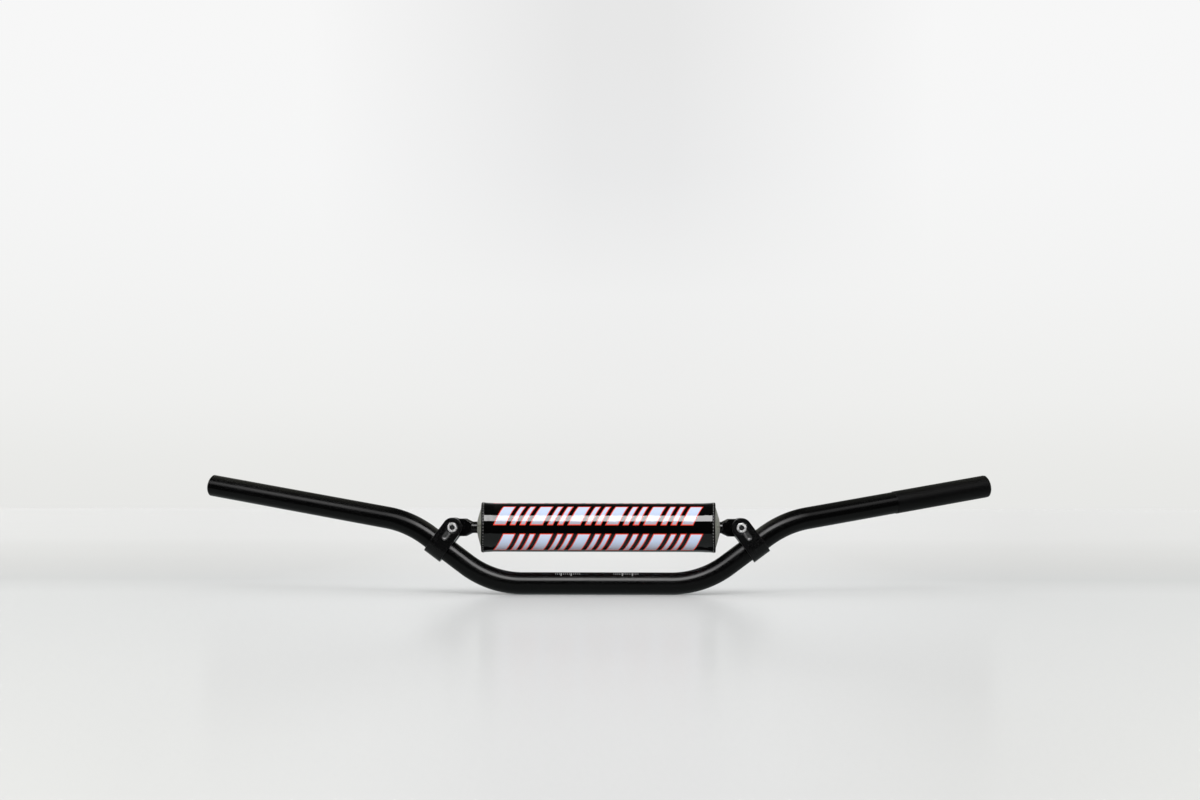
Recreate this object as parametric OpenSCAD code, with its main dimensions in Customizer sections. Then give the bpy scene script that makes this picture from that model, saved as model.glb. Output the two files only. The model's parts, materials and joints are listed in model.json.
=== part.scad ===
// Tubular motorcycle handlebar with a clamped crossbar and a roll-shaped bar pad.
//
// Frame: the origin is the middle of the straight stretch that the fork clamps hold,
// on the tube's axis. X runs along that stretch, +X to the rider's left, the side whose
// grip is glued on. +Y points rearward, to the rider. +Z points up. Millimetres.
// The clutch side is at +X and the throttle side at -X, and names use the rider's left and right.

/* [Bar] */
// Outside diameter of the bar tube
bar_diameter = 22.2; // [22.0:0.1:22.4]
// Wall thickness of the bar tube
bar_wall = 3.5; // [3.2:0.1:4.0]
// Straight length between the two lower bends
centre_length = 148.6; // [142:0.1:156]
// Centreline radius of the lower bends
lower_bend_radius = 94; // [90:1:98]
// Angle turned by each lower bend, and so the slope of the legs
lower_bend_angle = 36.6; // [35:0.1:38]
// Straight length of each leg, between its lower and upper bend
leg_length = 47.4; // [46.6:0.1:54]
// Centreline radius of the upper bends
upper_bend_radius = 91; // [88:1:96]
// Angle turned by each upper bend
upper_bend_angle = 29.8; // [28:0.1:32]
// How far the plane of each upper bend leans back from the vertical
upper_bend_lean = 28; // [24:1:34]
// Straight length of each grip end
grip_length = 199.7; // [190:0.1:212]
// Length of the roughened stretch at the clutch-side end
knurl_length = 105; // [80:1:120]
// Height of the roughened stretch above the plain tube
knurl_height = 0.2; // [0.1:0.05:0.3]

/* [Crossbar] */
// Outside diameter of the crossbar tube and of its end fittings
crossbar_diameter = 11.5; // [11.0:0.1:12.0]
// Wall thickness of the crossbar tube
crossbar_wall = 2.0; // [1.6:0.1:2.4]
// Distance along each leg from the lower bend to the middle of its clamp
clamp_distance = 33; // [30:0.1:33.6]
// Width of each clamp along the leg
clamp_width = 19.4; // [18:0.1:21]
// Thickness of the clamp's band around the leg
clamp_wall = 3; // [2.8:0.1:3.6]
// Height of the clamp bolt above the leg's axis
clamp_reach = 21.8; // [21.6:0.1:23]
// Thickness of the flat tongue held between a clamp's ears
tongue_thickness = 10; // [9:0.5:10.5]

/* [Pad] */
// Length of the pad's cover between its two rims
pad_length = 234; // [216:2:234]
// Diameter of the cover at mid-length
pad_diameter = 48.8; // [46:0.2:50]
// How far the end panels bulge past the rims
pad_bulge = 4.9; // [3:0.1:4.9]
// Position of the pad's middle along the crossbar
pad_position = 1.5; // [-1.5:0.25:1.5]
// Width of the closing flap, measured as an angle around the pad
flap_arc = 88; // [80:1:96]
// Height on the pad, as an angle up from straight back, at which the flap is hinged
flap_root = 52; // [46:1:58]

/* [Hidden] */

// colours used by more than one piece
fitting_black = [0.05, 0.05, 0.055];
bolt_steel = [0.75, 0.75, 0.76];
nut_steel = [0.7, 0.7, 0.71];
cover_black = [0.04, 0.04, 0.045];
panel_grey = [0.42, 0.43, 0.38];
rim_black = [0.03, 0.03, 0.035];
seam_grey = [0.75, 0.75, 0.75];

// clearances
fit = 0.02;                     // between pieces that bear on each other
play = 0.2;                     // around bolts, nuts and tongues
gap = 0.05;                     // between pieces that move on each other

// bar
tube_r = bar_diameter / 2;
bore_r = tube_r - bar_wall;
neck_r = tube_r - 0.25;         // the tube draws in to this where it is bent
bend_bore_r = bore_r + 0.15;
bend_overlap = 1.2;             // each bend reaches this far into the straight runs
taper = 4;                      // length over which a straight run is drawn in
tip_bevel = 1.2;                // outer bevel at the bar's tips
tip_bore_bevel = 0.5;
fine = 40;                      // facets around the bar

// places of the leg's clamp and its bolt
bend_end_x = centre_length / 2 + lower_bend_radius * sin(lower_bend_angle);
bend_end_z = lower_bend_radius * (1 - cos(lower_bend_angle));
foot_x = bend_end_x + clamp_distance * cos(lower_bend_angle);
foot_z = bend_end_z + clamp_distance * sin(lower_bend_angle);
bolt_x = foot_x - clamp_reach * sin(lower_bend_angle);
bolt_z = foot_z + clamp_reach * cos(lower_bend_angle);

// clamp
band_r = tube_r + clamp_wall;
ear_r = clamp_width / 2;
slot = tongue_thickness + play;
slot_foot = 4;                  // height of the slot's floor, inside the leg's bore
groove_r = 3.2;
groove_out = 1.2;               // the groove's axis stands this far in front of the ear
groove_foot = 9.8;              // height at which the groove's round foot is centred
overcut = 2;                    // how far cuts and rough outlines run past a face
cut_length = 40;                // length of the leg's bore, the slot and the eye's hole cutters
bolt_cut_length = 60;

// bolt and nut
bolt_r = 3;
bolt_hole_r = bolt_r + play;
bolt_length = 25;
bolt_bevel = 0.6;
head_r = 5;
head_h = 6;
socket_flats = 5;
socket_depth = 3.2;
recess = 6.4;                   // depth of the bolt head's counterbore
counterbore_r = 6;
nut_af = 10;                    // across the nut's flats
nut_h = 5;

// crossbar
cross_r = crossbar_diameter / 2;
cross_bore_r = cross_r - crossbar_wall;
cross_half = 108;               // half length of the crossbar tube
cross_end_gap = 0.01;           // between the tube and each fitting's shoulder
eye_r = 8.8;                    // round end of the tongue
tongue_length = 24;             // from the bolt's axis, before the cone trims it
cone_start = 19.9;              // distance of the cone's thin end from the bolt's axis
cone_length = 9.6;
cone_r = 10.4;                  // radius at the cone's thick end
cone_reach = 32;                // cone and the cylinder after it, together
neck_end = 18.4;                // distance of the round neck's end from the bolt's axis
spigot = 15;
spigot_r = cross_bore_r - fit;
spigot_bevel = 0.6;
spigot_overlap = 1;             // the spigot reaches this far into the neck

// pad: radii from the crossbar's axis, x from the pad's middle
cloth = 0.9;                    // thickness of the cover
rim_w = 2.6;                    // width of the folded rim
rim_x = pad_length / 2;
cover_x = rim_x - rim_w;
cover_r = pad_diameter / 2;
cover_in_r = cover_r - cloth;
flare = 0.6;                    // the cover stands this much prouder at its rims
flare_r = cover_r + flare;
foam_r = cover_in_r - 0.08;
pad_bore_r = cross_r + gap;
panel_t = 1.3;
panel_x = rim_x + pad_bulge;    // outermost face of the end panel
panel_foot = cover_x + 0.5;     // inboard edge of the end panel
panel_in_r = foam_r - panel_t;
foam_step_r = panel_in_r - 0.1; // the foam is stepped in to this under the panel
foam_step_x = cover_x + 0.4;
foam_end = panel_x - panel_t - 0.15;
slit_at = 24;                   // angle at which the cover, foam and panels are slit
slit_w = 0.6;
slit_start = 2;                 // radius from which the slit is cut
slit_reach = 40;
slit_length = 300;

// thread
thread_gap = 0.03;              // between thread and the cloth it lies on
seam_r = 0.4;
stitch_r = 0.3;

// flap and its hook-and-loop fastening
strip_t = 0.78;                 // thickness of each half of the fastening
bead_r = 0.8;                   // rolled edge on which the flap turns
bead_d = cover_r + 0.06 + bead_r;   // distance of the bead's axis from the pad's
flap_t = 1.1;
flap_half = 104;                // half length of the flap
strip_half = flap_half - 4;
stitch_half = flap_half - 6;
loop_r = cover_r + gap;
hook_r = loop_r + strip_t + gap;
flap_r = hook_r + strip_t + gap;
flap_start_r = cover_r + 0.2;   // inner radius of the flap at its root
flap_rise = 0.42;               // share of the flap's arc over which it rises to flap_r
flap_steps = 30;
flap_edge = flap_root - flap_arc;
strip_from = flap_edge + 4;     // the hook strip's lower edge, as an angle
strip_arc = 38;
loop_extra = 1;                 // angle by which the loop strip is wider at each edge
stitch_inset = 4;               // angle from the hook strip's edges to the thread

// ---- helpers ----

// turns a shape drawn around local Z so that it lies along X,
// with local X to the rear and local Y up
module lengthwise() { rotate([90, 0, 90]) children(); }

// the -X side is the mirror image of the +X side
module on_right() { mirror([1, 0, 0]) children(); }

// hexagonal prism on local Z, sized across its flats
module hexagon(flats, height) { cylinder(d = flats / cos(30), h = height, $fn = 6); }

// a profile of [radius, z] points for the +Z end, completed with its mirror image at the -Z end
function both_ends(half) =
    concat([for (i = [len(half) - 1:-1:0]) [half[i][0], -half[i][1]]], half);

// ---- bar ----

// the drawn-in start of every straight run, as [radius, distance along]
run_start = [[bore_r, 0], [neck_r - 0.05, 0], [tube_r, taper]];

// carries a shape to the far end of a bend that starts at the origin along +X
// and rises towards +Z
module past_bend(radius, angle) {
    translate([radius * sin(angle), 0, radius * (1 - cos(angle))])
        rotate([0, -angle, 0]) children();
}

// one bend of the bar, which overlaps the straight runs at both ends
module bend(radius, angle) {
    over = asin(bend_overlap / radius);
    translate([0, 0, radius]) rotate([90, 90, 0]) rotate([0, 0, -over])
        rotate_extrude(angle = angle + 2 * over, $fn = 92)
            translate([radius, 0]) difference() {
                circle(r = neck_r, $fn = fine);
                circle(r = bend_bore_r, $fn = fine);
            }
}

// a straight run that is drawn in at both ends
module straight(length) {
    lengthwise() rotate_extrude($fn = fine) polygon(concat(run_start, [
        [tube_r, length - taper], [neck_r - 0.05, length], [bore_r, length]]));
}

// a grip end with a bevelled tip; shoulder holds the profile's points along its outer stretch
module grip_end(shoulder) {
    lengthwise() rotate_extrude($fn = fine) polygon(concat(run_start, shoulder, [
        [tube_r - tip_bevel, grip_length],
        [bore_r + tip_bore_bevel, grip_length], [bore_r, grip_length - tip_bore_bevel]]));
}

// the throttle-side grip end
module plain_end() { grip_end([[tube_r, grip_length - tip_bevel]]); }

// the clutch-side grip end: its outer stretch stands slightly proud, for the knurling
module knurled_end() {
    knurl_r = tube_r + knurl_height;
    grip_end([
        [tube_r, grip_length - knurl_length - 0.4], [knurl_r, grip_length - knurl_length],
        [knurl_r, grip_length - 1.4]]);
}

// everything on one side of the bar's middle stretch; the grip end is passed in
module bar_side() {
    translate([centre_length / 2, 0, 0]) {
        bend(lower_bend_radius, lower_bend_angle);
        past_bend(lower_bend_radius, lower_bend_angle) {
            straight(leg_length);
            translate([leg_length, 0, 0]) rotate([upper_bend_lean - 180, 0, 0]) {
                bend(upper_bend_radius, upper_bend_angle);
                past_bend(upper_bend_radius, upper_bend_angle) children();
            }
        }
    }
}

// ---- clamps and crossbar ends, drawn for the +X side ----

// carries a shape drawn about a leg's axis to the clamp's place:
// local X up the leg, local Z out through the ears
module at_clamp() {
    translate([foot_x, 0, foot_z]) rotate([0, -lower_bend_angle, 0]) children();
}

// turns local Z to the front and lifts the shape from the leg's axis to the bolt's
module across_ears() { translate([0, 0, clamp_reach]) rotate([90, 0, 0]) children(); }

// one clamp: a band around the leg whose two ends stand up as ears
module clamp_body() {
    at_clamp() difference() {
        intersection() {
            // band and ears, seen along the leg
            lengthwise() linear_extrude(height = 2 * clamp_width, center = true) union() {
                circle(r = band_r, $fn = 64);
                translate([-band_r, 0]) square([2 * band_r, clamp_reach + ear_r + 3]);
            }
            // round-topped outline, seen from the front
            rotate([90, 0, 0]) linear_extrude(height = 3 * band_r, center = true) union() {
                translate([0, clamp_reach]) circle(r = ear_r, $fn = 64);
                translate([-ear_r, -band_r - overcut])
                    square([2 * ear_r, clamp_reach + band_r + overcut]);
            }
        }
        // bore for the leg
        lengthwise() cylinder(r = tube_r + fit, h = cut_length, center = true, $fn = 64);
        // slot between the ears, which takes the tongue
        translate([-cut_length / 2, -slot / 2, slot_foot]) cube([cut_length, slot, cut_length]);
        // bolt hole, with the head's counterbore in front and the nut's pocket behind
        across_ears() {
            cylinder(r = bolt_hole_r, h = bolt_cut_length, center = true, $fn = 32);
            translate([0, 0, band_r - recess])
                cylinder(r = counterbore_r, h = recess + overcut, $fn = 48);
            translate([0, 0, -band_r - overcut]) hexagon(nut_af + play, nut_h + overcut);
        }
        // scooped groove down the face of the front ear
        translate([0, -band_r - groove_out, groove_foot]) {
            cylinder(r = groove_r, h = clamp_reach - groove_foot, $fn = 32);
            sphere(r = groove_r, $fn = 32);
        }
    }
}

// socket-head bolt across the ears, its head to the front
module bolt_body() {
    at_clamp() across_ears() translate([0, 0, band_r - recess]) difference() {
        rotate_extrude($fn = 36) polygon([
            [0, -bolt_length], [bolt_r - bolt_bevel, -bolt_length],
            [bolt_r, -bolt_length + bolt_bevel], [bolt_r, 0], [head_r, 0],
            [head_r, head_h - bolt_bevel], [head_r - bolt_bevel, head_h], [0, head_h]]);
        translate([0, 0, head_h - socket_depth]) hexagon(socket_flats, 5);
    }
}

// hexagon nut in the pocket of the rear ear, its corners bevelled at the rear face
module nut_body() {
    corner_r = nut_af / 2 + 1;
    at_clamp() across_ears() translate([0, 0, -band_r + fit]) difference() {
        intersection() {
            hexagon(nut_af, nut_h - 2 * fit);
            rotate_extrude($fn = 36) polygon([
                [0, 0], [nut_af / 2 - 0.1, 0], [corner_r, 0.7],
                [corner_r, nut_h + 1], [0, nut_h + 1]]);
        }
        translate([0, 0, -1]) cylinder(r = bolt_r + fit, h = nut_h + 2, $fn = 36);
    }
}

// crossbar end fitting: an eye and tongue with flat sides, a cone, a round neck,
// and a spigot in the tube
module fitting_body() {
    reach = bolt_x - cross_half;
    translate([bolt_x, 0, bolt_z]) difference() {
        union() {
            intersection() {
                // eye and tongue, seen from the front
                rotate([90, 0, 0])
                    linear_extrude(height = tongue_thickness, center = true) union() {
                        circle(r = eye_r, $fn = 48);
                        translate([-tongue_length, -eye_r]) square([tongue_length, 2 * eye_r]);
                    }
                // cone that thickens towards the eye
                translate([-cone_start, 0, 0]) lengthwise() rotate_extrude($fn = 48) polygon([
                    [0, 0], [cross_r - 0.15, 0], [cone_r, cone_length],
                    [cone_r, cone_reach], [0, cone_reach]]);
            }
            // neck
            translate([-reach, 0, 0]) lengthwise()
                cylinder(r = cross_r, h = reach - neck_end, $fn = 48);
            // spigot
            translate([-reach - spigot, 0, 0]) lengthwise() rotate_extrude($fn = 36) polygon([
                [0, 0], [spigot_r - spigot_bevel, 0], [spigot_r, spigot_bevel],
                [spigot_r, spigot + spigot_overlap], [0, spigot + spigot_overlap]]);
        }
        rotate([90, 0, 0]) cylinder(r = bolt_hole_r, h = cut_length, center = true, $fn = 32);
    }
}

// ---- pad ends, drawn for the +X end; profile points are [radius, distance along] ----

// carries a shape drawn around local Z to the pad's place on the crossbar
module at_pad() { translate([pad_position, 0, bolt_z]) lengthwise() children(); }

// carries a shape to the other end of the pad
module pad_far_end() { mirror([0, 0, 1]) children(); }

// cuts a thin radial slit through a shape, from the crossbar out
module with_slit() {
    difference() {
        children();
        rotate([0, 0, slit_at]) translate([slit_start, -slit_w / 2, -slit_length / 2])
            cube([slit_reach, slit_w, slit_length]);
    }
}

// end panel: a shallow cone of cloth from the rim in to the crossbar
module panel_body() {
    with_slit() rotate_extrude($fn = 60) polygon([
        [foam_r, panel_foot], [foam_r, rim_x - 0.4], [9, panel_x - 0.5], [7, panel_x],
        [pad_bore_r, panel_x], [pad_bore_r, panel_x - panel_t], [6.8, panel_x - panel_t],
        [panel_in_r, rim_x - 1.4], [panel_in_r, panel_foot]]);
}

// rim: the folded edge of the cover that the end panel is sewn to
module rim_body() {
    inboard = cover_x + gap;
    with_slit() rotate_extrude($fn = 60) polygon([
        [cover_in_r, inboard], [flare_r, inboard], [flare_r, rim_x - 0.9],
        [flare_r - 0.25, rim_x - 0.35], [flare_r - 0.8, rim_x], [cover_in_r, rim_x]]);
}

// seam: the raised line of thread around the rim, near its inboard edge
module seam_body() {
    with_slit() rotate_extrude($fn = 60)
        translate([flare_r + seam_r + thread_gap, cover_x + 0.55]) circle(r = seam_r, $fn = 16);
}

// ---- flap ----

function smooth_step(u) = u * u * (3 - 2 * u);

// the flap's inner radius, where t runs from 0 at the root to 1 at the free edge:
// it leaves the cover at the root and rides over the fastening
function flap_inner(t) =
    flap_start_r + (flap_r - flap_start_r) * smooth_step(min(1, t / flap_rise));

// a point across the flap, this far out from its inner face
function flap_point(t, out) =
    let (angle = flap_root - t * flap_arc, radius = flap_inner(t) + out)
    [radius * cos(angle), radius * sin(angle)];

flap_outline = concat(
    [for (i = [0:flap_steps]) flap_point(i / flap_steps, 0)],
    [for (i = [flap_steps:-1:0]) flap_point(i / flap_steps, flap_t)]);

// one half of the fastening: a curved strip with its inner face at the given radius
module strip(radius, from, arc) {
    translate([0, 0, -strip_half]) rotate([0, 0, from])
        rotate_extrude(angle = arc, $fn = 150)
            translate([radius, 0]) square([strip_t, 2 * strip_half]);
}

// ---- pieces ----

module bar_tube() color([0.07, 0.07, 0.075]) union() {
    translate([-centre_length / 2, 0, 0]) straight(centre_length);
    bar_side() knurled_end();
    on_right() bar_side() plain_end();
}

module clamp_left() color(fitting_black) clamp_body();
module clamp_right() color(fitting_black) on_right() clamp_body();

module clamp_bolt_left() color(bolt_steel) bolt_body();
module clamp_bolt_right() color(bolt_steel) on_right() bolt_body();

module clamp_nut_left() color(nut_steel) nut_body();
module clamp_nut_right() color(nut_steel) on_right() nut_body();

module crossbar_tube() color([0.06, 0.06, 0.065])
    translate([-cross_half, 0, bolt_z]) lengthwise() rotate_extrude($fn = 48) polygon([
        [cross_bore_r, cross_end_gap], [cross_r, cross_end_gap],
        [cross_r, 2 * cross_half - cross_end_gap],
        [cross_bore_r, 2 * cross_half - cross_end_gap]]);

module crossbar_end_left() color(fitting_black) fitting_body();
module crossbar_end_right() color(fitting_black) on_right() fitting_body();

// foam core: a thick-walled roll, coned at both ends and slit along one side
module pad_foam() color([0.30, 0.30, 0.28]) at_pad() with_slit()
    rotate_extrude($fn = 60) polygon(both_ends([
        [foam_r, foam_step_x], [foam_step_r, foam_step_x], [foam_step_r, rim_x - 1.6],
        [6.6, foam_end], [pad_bore_r, foam_end]]));

// cover: one sheet wrapped round the foam, with its edges meeting at the slit
module pad_cover() color(cover_black) at_pad() with_slit()
    rotate_extrude($fn = 60) polygon(both_ends([
        [cover_r, cover_x - 10], [cover_r + 0.35, cover_x - 5],
        [flare_r, cover_x], [cover_in_r, cover_x]]));

module pad_panel_left() color(panel_grey) at_pad() panel_body();
module pad_panel_right() color(panel_grey) at_pad() pad_far_end() panel_body();

module pad_rim_left() color(rim_black) at_pad() rim_body();
module pad_rim_right() color(rim_black) at_pad() pad_far_end() rim_body();

module pad_seam_left() color(seam_grey) at_pad() seam_body();
module pad_seam_right() color(seam_grey) at_pad() pad_far_end() seam_body();

// loop half of the fastening, sewn to the cover below the slit
module pad_loop_strip() color([0.09, 0.09, 0.09]) at_pad()
    strip(loop_r, strip_from - loop_extra, strip_arc + 2 * loop_extra);

// flap: hinged on its rolled root, it closes down over the fastening
module pad_flap() color(cover_black) at_pad() translate([0, 0, -flap_half]) union() {
    linear_extrude(height = 2 * flap_half) polygon(flap_outline);
    translate([bead_d * cos(flap_root), bead_d * sin(flap_root), 0])
        cylinder(r = bead_r, h = 2 * flap_half, $fn = 24);
}

// hook half of the fastening, on the inside of the flap
module pad_hook_strip() color([0.08, 0.08, 0.08]) at_pad()
    strip(hook_r, strip_from, strip_arc);

// two rows of thread along the flap, which hold the hook strip
module pad_flap_stitch() color([0.5, 0.5, 0.5]) at_pad() translate([0, 0, -stitch_half])
    for (angle = [strip_from + stitch_inset, strip_from + strip_arc - stitch_inset])
        rotate([0, 0, angle]) translate([flap_r + flap_t + stitch_r + thread_gap, 0, 0])
            cylinder(r = stitch_r, h = 2 * stitch_half, $fn = 16);

// ---- drawing ----

bar_tube();
clamp_left();
clamp_right();
clamp_bolt_left();
clamp_bolt_right();
clamp_nut_left();
clamp_nut_right();
crossbar_tube();
crossbar_end_left();
crossbar_end_right();
pad_foam();
pad_cover();
pad_panel_left();
pad_panel_right();
pad_rim_left();
pad_rim_right();
pad_seam_left();
pad_seam_right();
pad_loop_strip();
pad_flap();
pad_hook_strip();
pad_flap_stitch();
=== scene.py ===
# A handlebar whose crossbar carries a foam pad with a sewn cover and a flap that peels open.
# X runs along the bar with the left (clutch) end at +X, the front faces -Y and Z is up.
# The origin is on the tube's axis at the middle of the bar. Lengths are in metres.
import json
import math
from math import pi, radians

import bpy
import numpy as np
from mathutils import Matrix, Vector


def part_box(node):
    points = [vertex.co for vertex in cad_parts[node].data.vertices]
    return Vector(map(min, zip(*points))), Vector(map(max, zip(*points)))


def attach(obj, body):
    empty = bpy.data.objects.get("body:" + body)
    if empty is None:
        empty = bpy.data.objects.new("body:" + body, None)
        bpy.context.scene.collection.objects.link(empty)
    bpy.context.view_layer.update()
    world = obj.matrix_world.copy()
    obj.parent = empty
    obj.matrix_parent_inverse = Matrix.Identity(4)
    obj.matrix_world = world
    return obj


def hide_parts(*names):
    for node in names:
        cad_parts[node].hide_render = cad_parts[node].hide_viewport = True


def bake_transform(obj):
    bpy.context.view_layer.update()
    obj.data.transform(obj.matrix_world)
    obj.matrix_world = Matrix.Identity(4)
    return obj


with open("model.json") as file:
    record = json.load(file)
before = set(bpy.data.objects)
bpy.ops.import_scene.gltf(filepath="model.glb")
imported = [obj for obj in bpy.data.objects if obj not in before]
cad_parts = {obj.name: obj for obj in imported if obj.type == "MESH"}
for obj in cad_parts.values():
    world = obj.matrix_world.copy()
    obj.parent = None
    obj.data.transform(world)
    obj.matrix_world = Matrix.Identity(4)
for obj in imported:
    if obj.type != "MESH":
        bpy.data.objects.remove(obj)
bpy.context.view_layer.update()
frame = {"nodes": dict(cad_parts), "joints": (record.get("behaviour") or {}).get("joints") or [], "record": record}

cad = frame["nodes"]
scene = bpy.context.scene
mm = 0.001


def mount(name):
    return next(m for m in frame["record"]["mounts"] if m["name"] == name)


# ------------------------------------------------------------------ sizes from the CAD frame
cover_low, cover_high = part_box("pad_cover")
PAD_X = (cover_low.x + cover_high.x) / 2
PAD_Z = (cover_low.z + cover_high.z) / 2
COVER_END = (cover_high.x - cover_low.x) / 2      # ends are distances from the pad's middle
RIM_R = (cover_high.z - cover_low.z) / 2
COVER_R = RIM_R - 0.6 * mm
RIM_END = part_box("pad_rim_left")[1].x - PAD_X
PANEL_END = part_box("pad_panel_left")[1].x - PAD_X
seam_low, seam_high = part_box("pad_seam_left")
SEAM_X = (seam_low.x + seam_high.x) / 2 - PAD_X
foam_low, foam_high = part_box("pad_foam")
FOAM_R = (foam_high.z - foam_low.z) / 2
cross_low, cross_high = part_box("crossbar_tube")
CROSS_R = (cross_high.z - cross_low.z) / 2
bolt_low, bolt_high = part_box("clamp_bolt_left")
BOLT_X, BOLT_Z = (bolt_low.x + bolt_high.x) / 2, (bolt_low.z + bolt_high.z) / 2
FLOOR_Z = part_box("bar_tube")[0].z
TUBE_R = -FLOOR_Z
flap_low, flap_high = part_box("pad_flap")
FLAP_HALF = (flap_high.x - flap_low.x) / 2
hinge = next(j for j in frame["joints"] if j["name"] == "flap_peel")["pos_m"]

# angles round the pad run from straight back (+Y) over the top to the front
FLAP_ROOT = math.atan2(hinge[2] - PAD_Z, hinge[1])
FLAP_END = FLAP_ROOT - radians(88)
SLIT = radians(24)                                # the slit along the back of the pad
SLIT_HALF = 0.36 * mm / COVER_R
FIRST_ANGLE, LAST_ANGLE = SLIT + SLIT_HALF, SLIT + 2 * pi - SLIT_HALF
COVER_THICK = 0.9 * mm
STITCH = 3.14 * mm
STITCHES_ROUND = int(round(2 * pi * RIM_R / STITCH))


# ------------------------------------------------------------------ shape helpers
def on_pad(radius, angle, x):
    """Points on the pad: radius, angle from straight back towards up, distance along it."""
    radius, angle, x = np.broadcast_arrays(radius, angle, x)
    return np.stack([PAD_X + x, radius * np.cos(angle), PAD_Z + radius * np.sin(angle)], -1)


def outward(angle):
    return np.stack([0 * angle, np.cos(angle), np.sin(angle)], -1)


def around_pad(*fractions):
    """Angles from one side of the slit to the other, from fractions of the way round."""
    return FIRST_ANGLE + (LAST_ANGLE - FIRST_ANGLE) * np.concatenate(fractions)


def from_slit(angle, radius):
    return np.minimum(angle - FIRST_ANGLE, LAST_ANGLE - angle) * radius


def grid(rows, columns):
    return np.meshgrid(rows, columns, indexing="ij")


def unit(value):
    return np.clip(value, 0, 1)


def smooth(value):
    return value * value * (3 - 2 * value)


def ridge(distance, width):
    """A bell of height 1 that fades over the width."""
    return np.exp(-(distance / width) ** 2)


def waves(u, v, seed, count, shortest, longest):
    """Smooth fixed waves over two coordinates in metres, roughly between -1 and 1."""
    rng = np.random.default_rng(seed)
    total = np.zeros(np.broadcast(u, v).shape)
    for _ in range(count):
        length = rng.uniform(shortest, longest)
        turn = rng.uniform(0, 2 * pi)
        phase = rng.uniform(0, 2 * pi)
        across = u * math.cos(turn) + v * math.sin(turn)
        total = total + np.sin(2 * pi * across / length + phase)
    return total / (count * 0.75)


def edge_round(distance, thickness):
    """How far a sheet's face moves in towards its middle at a distance from its edge."""
    half = thickness / 2
    inside = unit((half - distance) / half)
    return half * 0.92 * (1 - np.sqrt(np.maximum(0, 1 - inside * inside)))


def tuck(points):
    """Draws the sewn ends in a little at the front of the pad."""
    deepest, starts, hub, fade = 1.5 * mm, 70 * mm, 7 * mm, 14 * mm
    x = points[..., 0] - PAD_X
    radius = np.maximum(np.hypot(points[..., 1], points[..., 2] - PAD_Z), 1e-6)
    front = unit(-points[..., 1] / radius) * np.sqrt(unit((radius - hub) / fade))
    near_end = smooth(unit((np.abs(x) - starts) / (COVER_END - starts)))
    moved = np.array(points, float)
    moved[..., 0] -= np.sign(x) * deepest * front ** 2 * near_end
    return moved


# ------------------------------------------------------------------ mesh helpers
def add_mesh(name, vertices, faces, uv=None, sharp=50):
    """A smooth-shaded mesh object; edges sharper than an angle in degrees stay sharp."""
    mesh = bpy.data.meshes.new(name)
    mesh.from_pydata(np.asarray(vertices, float).tolist(), [], faces)
    mesh.update()
    if uv is not None:
        layer = mesh.uv_layers.new(name="UVMap")
        index = np.zeros(len(mesh.loops), np.int32)
        mesh.loops.foreach_get("vertex_index", index)
        layer.data.foreach_set("uv", np.asarray(uv, np.float32)[index].ravel())
    mesh.polygons.foreach_set("use_smooth", [True] * len(mesh.polygons))
    if sharp:
        mesh.set_sharp_from_angle(angle=radians(sharp))
    ob = bpy.data.objects.new(name, mesh)
    scene.collection.objects.link(ob)
    return ob


def skin(name, outer, inner, wrap=False, uv=None, sharp=50):
    """A closed sheet between two grids of points, each (rows, columns, 3)."""
    rows, columns = outer.shape[:2]
    outer_index = np.arange(rows * columns).reshape(rows, columns)
    inner_index = outer_index + rows * columns
    row = np.arange(rows) if wrap else np.arange(rows - 1)
    next_row = (row + 1) % rows

    def turned(quads, flip):
        return quads[:, ::-1] if flip else quads

    def side_quads(index, flip):
        corners = (index[row][:, :-1], index[row][:, 1:],
                   index[next_row][:, 1:], index[next_row][:, :-1])
        return turned(np.stack(corners, -1).reshape(-1, 4), flip)

    def edge_quads(outer_line, inner_line, outer_next, inner_next, flip):
        return turned(np.stack([outer_line, outer_next, inner_next, inner_line], -1), flip)

    faces = [side_quads(outer_index, False), side_quads(inner_index, True)]
    for column, flip in ((0, False), (columns - 1, True)):
        faces.append(edge_quads(outer_index[row, column], inner_index[row, column],
                                outer_index[next_row, column], inner_index[next_row, column],
                                flip))
    if not wrap:
        for line, flip in ((0, True), (rows - 1, False)):
            faces.append(edge_quads(outer_index[line, :-1], inner_index[line, :-1],
                                    outer_index[line, 1:], inner_index[line, 1:], flip))
    faces = np.concatenate(faces)
    vertices = np.concatenate([outer.reshape(-1, 3), inner.reshape(-1, 3)])
    a, b, c, d = (vertices[faces[:, k]] for k in range(4))
    volume = (np.einsum("ij,ij->i", a, np.cross(b, c)).sum()
              + np.einsum("ij,ij->i", a, np.cross(c, d)).sum())
    if volume < 0:
        faces = faces[:, ::-1]
    if uv is not None:
        uv = np.concatenate([uv.reshape(-1, 2)] * 2)
    return add_mesh(name, vertices, faces.tolist(), uv, sharp)


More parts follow.
